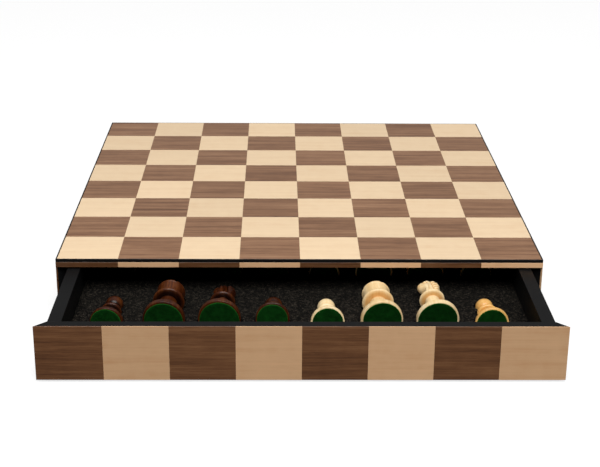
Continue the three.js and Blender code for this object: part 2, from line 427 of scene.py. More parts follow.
BLOCK_FACES = [(0, 3, 2, 1), (4, 5, 6, 7), (0, 1, 5, 4), (1, 2, 6, 5), (2, 3, 7, 6), (3, 0, 4, 7)]
EASED_EDGE = 0.10 * MM
BLOCK_TONE = 0.045  # how much paler or darker than its kind a block may be
LOG = (4000, 4000, 400)  # the stretch of grain, in millimetres, that blocks are cut from


def upright_block(plan, low, high):
    """The eight corners of a block that stands on four points."""
    return [Vector((point[0], point[1], z)) for z in (low, high) for point in plan]


def eased_block(corners):
    """Vertices and faces of a block with eight given corners, its edges eased by a hair."""
    bm = bmesh.new()
    made = [bm.verts.new(c) for c in corners]
    for face in BLOCK_FACES:
        bm.faces.new([made[i] for i in face])
    bmesh.ops.recalc_face_normals(bm, faces=bm.faces)
    bmesh.ops.bevel(bm, geom=list(bm.edges), offset=EASED_EDGE, segments=1, affect="EDGES")
    bm.verts.index_update()
    verts = [v.co.copy() for v in bm.verts]
    faces = [[v.index for v in f.verts] for f in bm.faces]
    bm.free()
    return verts, faces


def veneer_piece(name, blocks, material, along, across, draw, lift=0.0, lean=0.0):
    """One mesh of many blocks, each with a stretch of grain of its own.

    along and across are the grain's directions. lift is how much paler the wood is than its kind, and lean
    how much paler it gets from the middle to the right end."""
    verts, faces, grain, tone = [], [], [], []
    for corners in blocks:
        shift = Vector([draw.uniform(0, length) for length in LOG])
        shade = draw.uniform(-BLOCK_TONE, BLOCK_TONE)
        block_verts, block_faces = eased_block(corners)
        start = len(verts)
        verts += block_verts
        faces += [[start + i for i in face] for face in block_faces]
        for v in block_verts:
            grain.append(Vector((v.dot(along), v.dot(across), 0)) / MM + shift)
            tone.append(shade + lift + lean * v.x / OUTER)
    piece = mesh_object(name, verts, faces, material)
    set_attribute(piece.data, "grain", "FLOAT_VECTOR", grain)
    set_attribute(piece.data, "tone", "FLOAT", tone)
    return piece


def board_blocks(colour):
    """Corners of the 32 squares of one colour. The near left square is a light one."""
    wanted = 0 if colour == "maple" else 1
    for row in range(SQUARES):
        for column in range(SQUARES):
            if (row + column) % 2 != wanted:
                continue
            x0, y0 = BOARD_LOW.x + column * SQUARE, BOARD_LOW.y + row * SQUARE
            x1, y1 = x0 + SQUARE, y0 + SQUARE
            yield upright_block([(x0, y0), (x1, y0), (x1, y1), (x0, y1)], BOARD_LOW.z, BOARD_HIGH.z)


def band_blocks(colour, first, start, end, inward, low, high):
    """Corners of one colour's blocks along a band of veneer with mitred ends.

    start and end are the band's outer corners in plan, inward is the vector through its thickness, and first
    is the colour of the block at start. The inner face is shorter by the thickness at each end."""
    run = (end - start).normalized()
    length = (end - start).length
    mitre = run * inward.length
    wanted = 0 if colour == first else 1
    side = (length - SQUARES * SQUARE) / 2
    marks = [0.0] + [side + i * SQUARE for i in range(1, SQUARES)] + [length]
    for i in range(SQUARES):
        if i % 2 != wanted:
            continue
        outer0, outer1 = start + run * marks[i], start + run * marks[i + 1]
        inner0, inner1 = outer0 + inward, outer1 + inward
        if i == 0:
            inner0 += mitre
        if i == SQUARES - 1:
            inner1 -= mitre
        yield upright_block([outer0, outer1, inner1, inner0], low, high)


def make_board(draw):
    for colour, material in (("maple", BOARD_MAPLE), ("walnut", BOARD_WALNUT)):
        piece = veneer_piece("board_squares_" + colour, board_blocks(colour), material, X, Y, draw)
        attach(piece, "case")
        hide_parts("board_veneer")


def band_from_box(node, side):
    """The ends of a veneer band's outer line, its inward vector and its heights, from its node's box."""
    low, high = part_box(node)
    outer, inner = (low, high) if side in ("left", "front") else (high, low)
    if side in ("left", "right"):
        inward = Vector((inner.x - outer.x, 0, 0))
        ends = Vector((outer.x, low.y, 0)), Vector((outer.x, high.y, 0))
    else:
        inward = Vector((0, inner.y - outer.y, 0))
        ends = Vector((low.x, outer.y, 0)), Vector((high.x, outer.y, 0))
    return ends, inward, low.z, high.z


# The colour of the block at the low-X or low-Y end of each band.
FIRST_BLOCK = {"front": "walnut", "left": "walnut", "right": "maple", "back": "maple"}
# The strip under the board's front edge: how much paler each wood is, and gets from the middle to the right.
FRONT_STRIP_LIFT = {"maple": 0.13, "walnut": -0.22}
FRONT_STRIP_LEAN = 0.10


def make_band(node, side, draw):
    """Replaces one veneer node by two pieces, one of each wood."""
    (start, end), inward, low, high = band_from_box(node, side)
    along = Y if side in ("left", "right") else X
    lean = FRONT_STRIP_LEAN if node == "front_edge_strip" else 0.0
    for colour, material in (("walnut", EDGE_WALNUT), ("maple", EDGE_MAPLE)):
        blocks = band_blocks(colour, FIRST_BLOCK[side], start, end, inward, low, high)
        lift = FRONT_STRIP_LIFT[colour] if node == "front_edge_strip" else 0.0
        piece = veneer_piece(node + "_" + colour, blocks, material, along, Z, draw, lift, lean)
        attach(piece, body_of(node))
        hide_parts(node)


def make_bands(draw):
    for side in ("front", "right", "back", "left"):
        make_band(side + "_edge_strip", side, draw)
    for side in ("left", "right", "back"):
        make_band(side + "_veneer", side, draw)
    make_band("drawer_front_veneer", "front", draw)


# ---- black parts

SAME_CORNER = 0.001 * MM  # corners of a CAD mesh that are nearer than this are one
TRIM_ROUNDING = 0.45 * MM
PANEL_ROUNDING = 0.3 * MM


def finish_black_parts():
    """The lacquered boards keep their CAD shape, with their edges rounded a little."""
    for node in nodes_in_slot("black_lacquer"):
        piece = frame["nodes"][node]
        piece.data.materials.clear()
        piece.data.materials.append(BLACK)
        piece.modifiers.new("joined corners", "WELD").merge_threshold = SAME_CORNER
        bevel = piece.modifiers.new("eased edges", "BEVEL")
        bevel.width = TRIM_ROUNDING if node == "edge_trim" else PANEL_ROUNDING
        bevel.segments = 3
        bevel.limit_method = "ANGLE"
        bevel.angle_limit = math.radians(30)


# ---- chessmen

# Half outlines as (radius, height). "c" marks a corner, and a smooth curve passes through the other points.
PROFILES = {
    "pawn": [
        (0, 0.6, "c"), (13.0, 0.6, "c"), (13.5, 1.2), (13.5, 3.8, "c"), (12.8, 4.3, "c"), (12.7, 5.0, "c"),
        (10.6, 6.6), (8.2, 9.6), (6.6, 13.4), (5.8, 17.2), (5.6, 20.2, "c"),
        (7.2, 20.4, "c"), (8.0, 20.9), (8.35, 21.8), (8.0, 22.8), (6.4, 23.7),
        (5.3, 25.2), (4.8, 27.6), (4.8, 29.6, "c"), (6.2, 31.2), (7.1, 33.6),
        (7.2, 36.2), (5.9, 39.3), (3.2, 41.3), (0, 42.0, "c"),
    ],
    "rook": [
        (0, 0.6, "c"), (16.1, 0.6, "c"), (16.8, 1.3), (16.8, 5.2, "c"), (16.0, 5.8, "c"), (15.9, 6.8, "c"),
        (13.4, 9.0), (10.9, 12.6), (9.0, 18.0), (7.7, 24.0), (7.3, 29.5, "c"),
        (9.8, 29.8, "c"), (11.9, 30.2, "c"), (12.7, 30.9), (12.9, 32.0), (12.5, 33.3),
        (11.2, 34.5), (10.0, 36.0), (9.7, 38.0), (10.1, 41.5), (11.1, 46.8, "c"),
        (11.55, 47.3), (11.5, 48.6, "c"), (11.1, 49.0, "c"), (8.6, 49.0, "c"), (8.4, 45.6, "c"),
        (0, 45.6, "c"),
    ],
    "knight": [
        (0, 0.6, "c"), (16.3, 0.6, "c"), (17, 1.3), (17, 5.2, "c"), (16.0, 5.8, "c"), (16.0, 6.8, "c"),
        (12.6, 9.0), (9.4, 12.8), (7.2, 17.5), (6.2, 23.0), (5.9, 30.2, "c"),
        (7.8, 30.5, "c"), (9.5, 30.9, "c"), (10.2, 31.5), (10.3, 32.3), (9.7, 33.2),
        (7.6, 34.2), (7.2, 35.0, "c"), (0, 35.4, "c"),
    ],
    "bishop": [
        (0, 0.6, "c"), (15.4, 0.6, "c"), (16, 1.3), (16, 5.2, "c"), (15.0, 5.8, "c"), (15.0, 6.8, "c"),
        (11.8, 9.3), (9.2, 13.5), (7.3, 20.0), (6.1, 28.0), (5.7, 35.5, "c"),
        (7.2, 36.8), (10.6, 38.8), (11.0, 39.8), (10.6, 40.8), (6.3, 42.6, "c"),
        (7.6, 45.0), (8.9, 49.5), (8.0, 54.0), (4.7, 58.4), (1.9, 59.6, "c"),
        (2.6, 60.7), (2.3, 62.2), (0, 63.0, "c"),
    ],
    "queen": [
        (0, 0.6, "c"), (16.8, 0.6, "c"), (17.5, 1.3), (17.5, 5.8, "c"), (16.4, 6.4, "c"), (16.4, 7.4, "c"),
        (12.9, 10.2), (10.0, 15.0), (8.0, 23.0), (6.8, 34.0), (6.4, 44.6, "c"),
        (8.0, 46.0), (12.0, 48.4), (12.5, 49.5), (12.0, 50.6), (7.4, 52.6, "c"),
        (7.2, 55.0), (8.6, 61.0), (12.0, 68.6, "c"), (9.6, 69.3, "c"), (7.8, 68.4, "c"),
        (5.6, 70.4), (2.4, 71.6, "c"), (3.1, 73.0), (2.5, 74.5), (0, 75.0, "c"),
    ],
    "king": [
        (0, 0.6, "c"), (17.2, 0.6, "c"), (18, 1.3), (18, 6.2, "c"), (16.9, 6.8, "c"), (16.9, 7.8, "c"),
        (13.3, 10.8), (10.4, 16.0), (8.4, 25.0), (7.2, 37.5), (6.8, 49.8, "c"),
        (8.6, 51.4), (12.5, 53.8), (13.0, 55.0), (12.5, 56.2), (7.8, 58.2, "c"),
        (7.8, 60.5), (9.2, 66.0), (12.0, 71.6, "c"), (11.4, 72.6, "c"), (7.0, 74.6),
        (3.0, 76.0, "c"), (3.2, 77.0, "c"), (0, 77.2, "c"),
    ],
}
STEPS = 5  # points that a smooth stretch is drawn with, between two of its own
HEIGHT = {kind: profile[-1][1] for kind, profile in PROFILES.items()}
HEIGHT.update(rook=49.0, knight=58.5, king=85.0)  # whose tops are carved, or added to the turned part
RADIUS = {kind: max(point[0] for point in profile) for kind, profile in PROFILES.items()}


def hermite(p0, p1, p2, p3, t):
    """A point between p1 and p2 on the Catmull-Rom curve through the four."""
    a = 2 * p1
    b = p2 - p0
    c = 2 * p0 - 5 * p1 + 4 * p2 - p3
    d = -p0 + 3 * p1 - 3 * p2 + p3
    return (a + b * t + c * t * t + d * t * t * t) / 2


def outline_points(profile):
    """The profile with its smooth stretches drawn out, as a list of (radius, height)."""
    points = [Vector(point[:2]) for point in profile]
    corner = [point[-1] == "c" for point in profile]
    out = [points[0]]
    for i in range(len(points) - 1):
        p1, p2 = points[i], points[i + 1]
        if corner[i] and corner[i + 1]:
            out.append(p2)
            continue
        p0 = p1 if corner[i] else points[i - 1]
        p3 = p2 if corner[i + 1] else points[i + 2]
        out += [hermite(p0, p1, p2, p3, step / STEPS) for step in range(1, STEPS + 1)]
    return [(max(0.0, p.x), p.y) for p in out]


def revolve(points, turns=72, shape=None):
    """Vertices and faces of a solid of revolution about Y. shape may move a point, given its angle."""
    inner = [p for p in points if p[0] > 1e-6]
    verts = [(0.0, points[0][1], 0.0)]
    for turn in range(turns):
        angle = 2 * math.pi * turn / turns
        for radius, height in inner:
            r, h = (radius, height) if shape is None else shape(radius, height, angle)
            verts.append((r * math.cos(angle), h, r * math.sin(angle)))
    verts.append((0.0, points[-1][1], 0.0))
    count, last = len(inner), len(verts) - 1
    faces = []
    for turn in range(turns):
        a, b = 1 + turn * count, 1 + (turn + 1) % turns * count
        faces.append((0, a, b))
        faces.append((last, b + count - 1, a + count - 1))
        for i in range(count - 1):
            faces.append((a + i, a + i + 1, b + i + 1, b + i))
    return verts, faces


def cut_box(piece, size, centre, degrees, axis):
    """Takes a box out of the piece, all in the man's own millimetres."""
    turn = Matrix.Rotation(math.radians(degrees), 3, axis)
    bm = bmesh.new()
    bmesh.ops.create_cube(bm, size=1.0)
    for v in bm.verts:
        v.co = turn @ Vector([place * side for place, side in zip(v.co, size)])
        v.co += Vector(centre)
    boolean(piece, object_from(bm, "tool"), "DIFFERENCE")


def crenellate(piece):
    """Cuts two slots across the rook's rim, which leave four battlements."""
    slot = (40.0, 3.6, 2.2)
    for degrees in (22, 112):
        cut_box(piece, slot, (0.0, HEIGHT["rook"] + 0.1, 0.0), degrees, "Y")


def slit(piece):
    """The slanting cut in the bishop's mitre."""
    cut_box(piece, size=(12.0, 1.3, 30.0), centre=(8.4, 54.6, 0.0), degrees=38, axis="Z")


def scallops(radius, height, angle):
    """A point of the queen's outline: her coronet's rim dips in and down between nine rounded points."""
    points, inwards, down = 9, 0.5, 1.9
    if height <= 68.2 or radius <= 9:
        return radius, height
    valley = 1 - abs(math.cos(points / 2 * angle))
    return radius - inwards * valley, height - down * valley ** 1.5


def flared_cross(piece):
    """The king's cross, with arms that widen outwards."""
    half = 1.5  # half its thickness
    centre = 80.6  # the height of its middle
    # One arm's outer corners, and the corner between it and the next arm.
    arm = [(1.9, 4.3), (-1.9, 4.3), (-0.9, 0.9)]
    quarters = [Matrix.Rotation(quarter * math.pi / 2, 2) for quarter in range(4)]
    plan = [turn @ Vector(corner) for turn in quarters for corner in arm]
    count = len(plan)
    verts = [(p.x, centre + p.y, side) for side in (-half, half) for p in plan]
    faces = [tuple(range(count))[::-1], tuple(range(count, 2 * count))]
    faces += [(i, (i + 1) % count, count + (i + 1) % count, count + i) for i in range(count)]
    cross = mesh_object("cross", verts, faces, piece.data.materials[0])
    bevel = cross.modifiers.new("eased edges", "BEVEL")
    bevel.width = 0.25
    bevel.segments = 2
    apply_modifiers(cross)
    boolean(piece, cross, "UNION")


# The horse's head, seen from the side: X is the way it looks and Y runs up the neck.
HORSE = [
    (-6.2, 33.4), (6.2, 33.4), (6.7, 35.4), (5.8, 38.2), (4.5, 41.0), (3.9, 43.4), (4.7, 45.2), (6.4, 46.0),
    (8.2, 47.0), (9.3, 48.8), (9.4, 50.8), (8.7, 52.6), (7.5, 53.9), (6.1, 55.0), (4.5, 56.0), (2.8, 56.9),
    (1.6, 58.5), (0.4, 58.3), (-0.6, 57.3), (-2.6, 57.3), (-4.8, 56.5), (-6.8, 55.0), (-8.3, 52.8),
    (-8.8, 50.2), (-8.5, 46.8), (-7.8, 43.2), (-7.1, 39.6), (-6.7, 36.2),
]
HORSE_HALF = 5.2  # half its thickness
HORSE_ROUNDING = 2.108  # how far the outline is drawn in on both cheeks
HORSE_LAYERS = 8
HORSE_VOXEL = 0.42
MUZZLE_TURN = math.radians(183)  # the lying knights look to the left
EYE, NOSTRIL, CHEEK, MOUTH = (3.2, 53.4), (8.2, 50.9), (2.0, 48.4), (8.0, 48.7)


def closed_curve(points, steps=4):
    """A smooth closed line through the points."""
    out = []
    count = len(points)
    vectors = [Vector(p) for p in points]
    for i in range(count):
        four = [vectors[(i + k) % count] for k in (-1, 0, 1, 2)]
        out += [hermite(*four, step / steps) for step in range(steps)]
    return out


def inset_line(line, distance):
    """The closed line moved inwards by a distance, vertex by vertex."""
    out = []
    count = len(line)
    for i, p in enumerate(line):
        tangent = (line[(i + 1) % count] - line[i - 1]).normalized()
        out.append(p + Vector((-tangent.y, tangent.x)) * distance)
    return out


def horse_width(x, y):
    """Half the head's thickness: full at the neck, thinner towards the ears, the muzzle and the crest."""
    ears = 0.30 * ramp_up(y, 49.0, 58.0)
    muzzle = 0.50 * ramp_up(x, 3.5, 10.5)
    crest = 0.34 * ramp_up(-x, 5.0, 9.2)
    return HORSE_HALF * (1.0 - ears) * (1.0 - muzzle) * (1.0 - crest)


def horse_head(material):
    """The knight's head as a rounded body: layers of its outline drawn in towards both faces."""
    line = closed_curve(HORSE)
    count = len(line)
    verts, faces = [], []
    for layer in range(HORSE_LAYERS + 1):
        angle = math.pi * (layer / HORSE_LAYERS - 0.5)
        for p in inset_line(line, HORSE_ROUNDING * (1 - math.cos(angle))):
            verts.append((p.x, p.y, math.sin(angle) * horse_width(p.x, p.y)))
    for layer in range(HORSE_LAYERS):
        a, b = layer * count, (layer + 1) * count
        faces += [(a + i, a + (i + 1) % count, b + (i + 1) % count, b + i) for i in range(count)]
    faces.append(tuple(range(count))[::-1])
    faces.append(tuple(range(len(verts) - count, len(verts))))
    head = mesh_object("horse", verts, faces, material)
    remesh = head.modifiers.new("even", "REMESH")
    remesh.mode = "VOXEL"
    remesh.voxel_size = HORSE_VOXEL
    smooth = head.modifiers.new("smooth", "SMOOTH")
    smooth.factor = 0.5
    smooth.iterations = 6
    apply_modifiers(head)
    carve_horse(head)
    return head


def carve_horse(head):
    """Carves the mane's locks, the eye, the nostril and the mouth into both cheeks, and parts the ears."""
    for v in head.data.vertices:
        x, y, z = v.co
        side = 1.0 if z > 0 else -1.0
        on_cheek = ramp_up(abs(z), 1.0, 3.0)
        hairline = 0.10 * (y - 42) - 2.6
        locks = 0.7 * ramp_up(hairline - x, 0.0, 1.6) * math.sin(1.7 * (y + 0.55 * x))
        edge = -0.5 * bell(x - hairline + 0.3, 0.55) if y > 37 else 0.0
        from_eye, from_nostril, from_cheek = (math.dist((x, y), place) for place in (EYE, NOSTRIL, CHEEK))
        eye = 0.75 * bell(from_eye, 1.0) - 0.6 * bell(from_eye - 1.9, 0.6)
        nostril = -0.8 * bell(from_nostril, 0.7)
        mouth = -0.7 * bell(y - MOUTH[1] - 0.25 * (x - MOUTH[0]), 0.45) * ramp_up(x, 5.0, 6.6)
        cheek = 0.5 * bell(from_cheek, 2.6)
        v.co.z += side * on_cheek * (locks * 0.6 + edge + eye + nostril + mouth + cheek)
        v.co.x -= 0.5 * locks
        v.co.y -= 1.5 * bell(z, 0.9) * ramp_up(y, 56.6, 57.8)


def add_horse(piece):
    """Joins the knight's head to its body."""
    head = horse_head(piece.data.materials[0])
    head.data.transform(Matrix.Rotation(MUZZLE_TURN, 4, "Y"))
    boolean(piece, head, "UNION")


CARVING = {"rook": crenellate, "knight": add_horse, "bishop": slit, "king": flared_cross}


def man_mesh(kind, colour):
    """The wooden part of a chessman, in millimetres, its base on the felt."""
    shape = scallops if kind == "queen" else None
    verts, faces = revolve(outline_points(PROFILES[kind]), shape=shape)
    piece = mesh_object(kind, verts, faces, MAN_WOOD[colour])
    if kind in CARVING:
        CARVING[kind](piece)
    mesh = piece.data
    bpy.data.objects.remove(piece)
    return mesh


SHARP = math.radians(40)


def shade_smooth_with_edges(mesh):
    """Smooth shading, broken at sharp edges."""
    shade_smooth(mesh)
    bm = bmesh.new()
    bm.from_mesh(mesh)
    for edge in bm.edges:
        if len(edge.link_faces) == 2:
            edge.smooth = edge.calc_face_angle(0.0) < SHARP
    bm.to_mesh(mesh)
    bm.free()


# Men of a warmer wood than the others, and how much warmer it is.
WARM_MEN = {
    "light_pawn_2": 1.0, "light_bishop_2": 1.0, "light_rook_1": 0.3,
    "dark_rook_1": 1.0, "dark_knight_1": 0.5,
}
# The painted shade in the grooves and under the collars, and the felts under the men, in millimetres.
GROOVE_REACH = 3.5  # a groove lies between two rims that are each within this distance of it
GROOVE_START = 0.3  # the depth at which the painted shade begins
GROOVE_FULL = {"light": 2.2, "dark": 1.2}  # how much deeper it is shaded in full
UNDER_RIM = {kind: 2.0 if kind == "pawn" else 1.0 for kind in PROFILES}  # the painted shade's reach below a rim
HOLLOW_FULL = 0.035  # how far a carved hollow's neighbours stand above it when it is shaded in full
KNIGHT_COLLAR = 35.0  # the height where the knight's turned part ends and its carved head starts
FELT_THICKNESS = 0.65
FELT_MARGIN = {"pawn": 1.2, "rook": 1.4, "knight": 1.2, "bishop": 1.3, "queen": 1.4, "king": 1.4}
FELT_ASTRAY = 0.45  # how far off centre a felt may have been glued
TREE = 900  # the stretch of wood that the men are cut from, in each direction


def chessmen():
    """(node, colour, kind) of each of the 32 men."""
    for node in sorted(frame["nodes"]):
        colour, _, rest = node.partition("_")
        kind = rest.split("_")[0]
        if colour in MAN_WOOD and kind in PROFILES:
            yield node, colour, kind


def axis_of(node):
    """The centre of a lying man's base and the direction from it to the head, by its node's base face."""
    mesh = frame["nodes"][node].data
    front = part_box(node)[0].y
    faces = [f for f in mesh.polygons if f.normal.y < -0.9 and f.center.y < front + 4 * MM]
    normal = sum((f.normal * f.area for f in faces), Vector()).normalized()
    rim = {mesh.vertices[i].co.to_tuple(6) for f in faces for i in f.vertices}
    centre = sum((Vector(p) for p in rim), Vector()) / len(rim)
    return centre, -normal


def lay(node):
    """The matrix that lays a man, drawn in millimetres along Y, in its pocket, with its X axis level."""
    centre, axis = axis_of(node)
    turn = Matrix.Rotation(math.atan2(-axis.x, axis.y), 4, "Z") @ Matrix.Rotation(math.asin(axis.z), 4, "X")
    return Matrix.Translation(centre) @ turn @ Matrix.Scale(MM, 4)


def felt_disc(node, kind, matrix, astray):
    """The round green felt under a man, with a soft rounded rim."""
    radius = RADIUS[kind] - FELT_MARGIN[kind]
    t = FELT_THICKNESS
    points = [
        (0, 0.05), (radius * 0.5, 0.02), (radius * 0.85, 0.0), (radius - 0.9, 0.02), (radius - 0.5, 0.10),
        (radius - 0.15, 0.28), (radius, 0.48), (radius, t), (0, t),
    ]
    verts, faces = revolve(points, turns=48)
    piece = mesh_object(node + "_felt", verts, faces, GREEN_FELT)
    shade_smooth(piece.data)
    from_middle = [math.hypot(x, z) for x, _, z in verts]
    # painted highlight: the outer edge of the felt is marked to be drawn paler
    set_attribute(piece.data, "rim", "FLOAT", [1.0 if r > radius - 0.4 else 0.0 for r in from_middle])
    piece.data.transform(matrix @ Matrix.Translation(astray))
    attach(piece, body_of(node))


def radius_at(heights, kind, **beyond):
    """The turned part's radius at each height. beyond may say what it is under the base and over the top."""
    outline = sorted(outline_points(PROFILES[kind]), key=lambda point: point[1])
    return np.interp(heights, [h for _, h in outline], [r for r, _ in outline], **beyond)


def groove_shading(points, kind, colour):
    """The painted shade at each point, by how deep in a turned groove or under a collar it lies: 0 on the
    rims, 1 at the bottom.
    """
    step = 0.1
    heights = np.arange(0.0, HEIGHT[kind] + 1, step)
    wide = radius_at(heights, kind)
    reach = int(GROOVE_REACH / step)
    either_side = np.minimum(windows(wide, reach, 0).max(axis=0), windows(wide, 0, reach).max(axis=0))
    rim = np.maximum(either_side, windows(wide, 0, int(UNDER_RIM[kind] / step)).max(axis=0))
    depth = np.interp(points[:, 1], heights, rim) - np.hypot(points[:, 0], points[:, 2])
    return smooth_step((depth - GROOVE_START) / GROOVE_FULL[colour])


def hollow_shading(mesh):
    """The painted shade at each vertex, from 0 to 1, by how hollow the surface is there: how far its
    neighbours stand above it.
    """
    places = np.array([v.co for v in mesh.vertices])
    normals = np.array([v.normal for v in mesh.vertices])
    edges = np.array([tuple(edge.vertices) for edge in mesh.edges])
    links = np.bincount(edges.ravel(), minlength=len(places)).clip(1)

    def spread(values):
        total = np.zeros_like(values)
        np.add.at(total, edges[:, 0], values[edges[:, 1]])
        np.add.at(total, edges[:, 1], values[edges[:, 0]])
        return total / (links[:, None] if values.ndim == 2 else links)

    hollow = ((spread(places) - places) * normals).sum(axis=1)
    for _ in range(2):
        hollow = (hollow + spread(hollow)) / 2
    return smooth_step(hollow / HOLLOW_FULL)


def make_men(draw):
    """Every man in its pocket: a wooden piece that stands for the node, and its felt."""
    built = {}
    for node, colour, kind in chessmen():
        if (kind, colour) not in built:
            built[kind, colour] = man_mesh(kind, colour)
            shade_smooth_with_edges(built[kind, colour])
        mesh = built[kind, colour].copy()
        spin = draw.uniform(0, 2 * math.pi) if kind in ("pawn", "queen", "bishop") else 0.0
        shift = [draw.uniform(0, TREE) for _ in range(3)]
        mesh.transform(Matrix.Rotation(spin, 4, "Y"))
        grain = np.array([v.co for v in mesh.vertices])
        # painted shade: grooves, collar undersides and the knight's carved hollows are darkened through the
        # groove attribute
        groove = groove_shading(grain, kind, colour)
        if kind == "knight":
            groove = np.where(grain[:, 1] > KNIGHT_COLLAR, hollow_shading(mesh), groove)
        set_attribute(mesh, "groove", "FLOAT", groove)
        set_attribute(mesh, "grain", "FLOAT_VECTOR", grain + shift)
        warmth = WARM_MEN[node] if node in WARM_MEN else draw.uniform(0.0, 0.2)
        set_attribute(mesh, "warmth", "FLOAT", [warmth] * len(grain))
        piece = put_in_scene(node + "_wood", mesh)
        matrix = lay(node)
        mesh.transform(matrix)
        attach(piece, body_of(node))
        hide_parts(node)
        astray = Vector((draw.uniform(-1, 1), 0, draw.uniform(-1, 1))) * FELT_ASTRAY
        felt_disc(node, kind, matrix, astray)
    for mesh in built.values():
        bpy.data.meshes.remove(mesh)


# ---- foam

FOAM_BED = 0.05 * MM  # the foam's underside, above the tray's floor
POCKET_FLOOR = 0.20 * MM  # the lowest that a pocket goes, above the tray's floor
POCKET_SLACK, FLOOR_SLACK = 0.9 * MM, 0.4 * MM  # the room beside a man, and under it
WALL_RUN = 1.1 * MM  # how far a pocket's wall leans out from its foot to its top
CROSS_LOW, CROSS_HIGH, CROSS_HALF = 76, 85.5, 4.5  # the king's cross, as its pocket has it, in millimetres
NO_POCKET = -9.0  # a half width that leaves the foam whole, in millimetres
MOST_LIFT = 2.8 * MM  # a man that lies higher than this above the tray has ridden up out of a deeper pocket
HORSE_LYING = 6.4  # half the lying horse's thickness, measured down, in millimetres
TAIL = {kind: 4.5 if height < 60 else 2.5 for kind, height in HEIGHT.items()}  # a pocket's run past the head
TAIL_HALF = 6.0  # half the width of a pocket where it closes round the head, in millimetres
COLUMN_PITCH = 1.2 * MM
FINE_DEPTH = 104 * MM  # the stretch behind the drawer's front that is drawn finely
FINE_PITCH, COARSE_PITCH = 1.0 * MM, 1.45 * MM


def grid_lines(low, high, pitch):
    return np.linspace(low, high, int(round((high - low) / pitch)) + 1)


def widened(width, reach=5):
    """Each value raised to the largest near it, then smoothed, so that thin collars leave rounded notches."""
    largest = windows(width, reach, reach).max(axis=0)
    return windows(largest, reach, reach).mean(axis=0)


def man_sides(kind):
    """A man's outline seen from above as it lies: heights, and its half widths to the left and right."""
    along = np.arange(-1.5, HEIGHT[kind] + TAIL[kind] + 0.01, 0.25)
    wide = radius_at(along, kind, left=RADIUS[kind], right=0.0)
    left, right = wide.copy(), wide.copy()
    if kind == "knight":
        line = np.array([tuple(p) for p in closed_curve(HORSE)])
        for i, height in enumerate(along):
            near = line[np.abs(line[:, 1] - height) < 1.4]
            if len(near):
                left[i] = max(left[i], near[:, 0].max())
                right[i] = max(right[i], -near[:, 0].min())
    if kind == "king":
        crossed = (along > CROSS_LOW) & (along < CROSS_HIGH)
        left[crossed] = right[crossed] = CROSS_HALF
    tail = np.clip((HEIGHT[kind] + TAIL[kind] - along) / (TAIL[kind] + 3), 0, 1) * TAIL_HALF
    tail[along < HEIGHT[kind] - 4] = 0.0
    return along, widened(np.maximum(left, tail)), widened(np.maximum(right, tail))


def cut_pocket(height, xs, ys, node, kind):
    """Lowers the foam's height field where a man lies, following its outline with a little slack."""
    centre, axis = axis_of(node)
    ridden_up = centre.z - RADIUS[kind] * MM - TRAY
    centre.z -= max(0.0, ridden_up - MOST_LIFT)
    along, left, right = man_sides(kind)
    flat = Vector((axis.x, axis.y)).normalized()
    margin = 8 * MM  # for a man that lies askew
    rows = np.nonzero((ys > centre.y - margin) & (ys < centre.y + along[-1] * MM))[0]
    columns = np.nonzero(np.abs(xs - centre.x) < RADIUS[kind] * MM + margin)[0]
    x, y = np.meshgrid(xs[columns] - centre.x, ys[rows] - centre.y)
    run = (x * flat.x + y * flat.y) / MM
    side = x * flat.y - y * flat.x
    half = np.where(side < 0, np.interp(run, along, left), np.interp(run, along, right))
    half[(run < along[0]) | (run > along[-1])] = NO_POCKET
    below = np.interp(run, along, np.minimum(left, right))
    if kind == "knight":
        below = np.where(run > KNIGHT_COLLAR - 1, HORSE_LYING, below)
    middle = centre.z + run * MM * axis.z
    floor = np.maximum(TRAY + POCKET_FLOOR, middle - below * MM - FLOOR_SLACK)
    inside = smooth_step((half * MM + POCKET_SLACK - np.abs(side)) / WALL_RUN)
    block = np.ix_(rows, columns)
    cut = height[block] * (1 - inside) + floor * inside
    height[block] = np.minimum(height[block], cut)


def torn(x, y, z):
    """The height of a point of the foam's top, made rough by its cells and a slow swell, less so low down."""
    open_top = min(1.0, (z - TRAY) / (2 * MM))
    cell = noise.noise(Vector((x, y, z)) * 780.0)
    swell = noise.noise(Vector((x, y, 0)) * 28.0)
    return z + open_top * (0.22 * cell - 0.12 * abs(cell) + 0.25 * swell) * MM


def make_foam():
    """The foam block as one closed mesh: its cut top, four sides and a flat underside."""
    xs = grid_lines(FOAM_LOW.x, FOAM_HIGH.x, COLUMN_PITCH)
    fine = grid_lines(FOAM_LOW.y, FOAM_LOW.y + FINE_DEPTH, FINE_PITCH)
    coarse = grid_lines(FOAM_LOW.y + FINE_DEPTH, FOAM_HIGH.y, COARSE_PITCH)
    ys = np.concatenate([fine, coarse[1:]])
    height = np.full((len(ys), len(xs)), FOAM_HIGH.z)
    for node, _, kind in chessmen():
        cut_pocket(height, xs, ys, node, kind)
    verts = [(x, y, torn(x, y, height[r, c])) for r, y in enumerate(ys) for c, x in enumerate(xs)]
    wide, deep = len(xs), len(ys)
    faces = [
        (r * wide + c, r * wide + c + 1, (r + 1) * wide + c + 1, (r + 1) * wide + c)
        for r in range(deep - 1)
        for c in range(wide - 1)
    ]
    rim = list(range(wide))
    rim += [r * wide + wide - 1 for r in range(1, deep)]
    rim += [(deep - 1) * wide + c for c in range(wide - 2, -1, -1)]
    rim += [r * wide for r in range(deep - 2, 0, -1)]
    start = len(verts)
    verts += [(verts[i][0], verts[i][1], TRAY + FOAM_BED) for i in rim]
    count = len(rim)
    for i in range(count):
        j = (i + 1) % count
        faces.append((rim[j], rim[i], start + i, start + j))
    faces.append(tuple(range(start + count - 1, start - 1, -1)))
    piece = mesh_object("foam_block", verts, faces, FOAM)
    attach(piece, "drawer")
    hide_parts("foam_insert")


# ---- felt under the case

